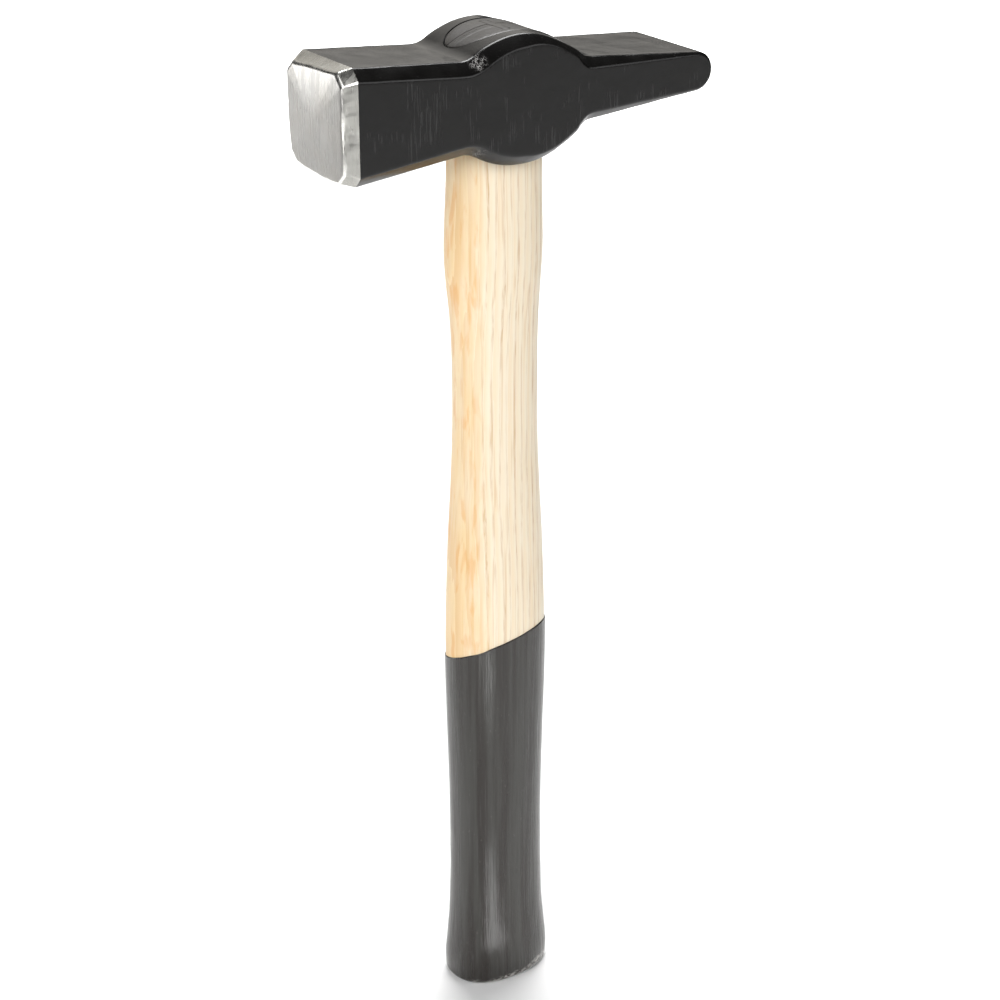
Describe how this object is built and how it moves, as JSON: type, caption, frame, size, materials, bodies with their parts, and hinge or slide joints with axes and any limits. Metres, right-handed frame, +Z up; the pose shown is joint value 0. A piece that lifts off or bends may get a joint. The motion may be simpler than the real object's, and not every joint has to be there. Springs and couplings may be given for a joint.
{
  "type": "cross peen hammer",
  "caption": "Forged cross peen hammer with a square crowned face, a wedge pein across the handle, domed cheeks and an oval ash handle with a dipped grip.",
  "frame": {"origin": "centre of the flat butt at the handle's lower end", "axes": "+Z up the handle's axis to the head, +X towards the pein, -X towards the striking face, Y across the head's flat sides"},
  "size_m": [0.1339, 0.035, 0.3354],
  "materials": {
    "head_lacquer": "black lacquer over forged steel, satin to gloss, with a bare ground striking face",
    "ash_wood": "pale ash, fine straight grain, smooth clear finish",
    "wedge_wood": "hardwood wedge, lacquered over at its end",
    "wedge_steel": "mild steel wedge, lacquered over at its end",
    "grip_lacquer": "dipped dark grey lacquer film, satin gloss, wood grain showing through"
  },
  "bodies": {
    "root": {"head": "head_lacquer", "handle": "ash_wood", "wooden_wedge": "wedge_wood", "steel_wedge": "wedge_steel", "grip_coating": "grip_lacquer"}
  },
  "joints": []
}
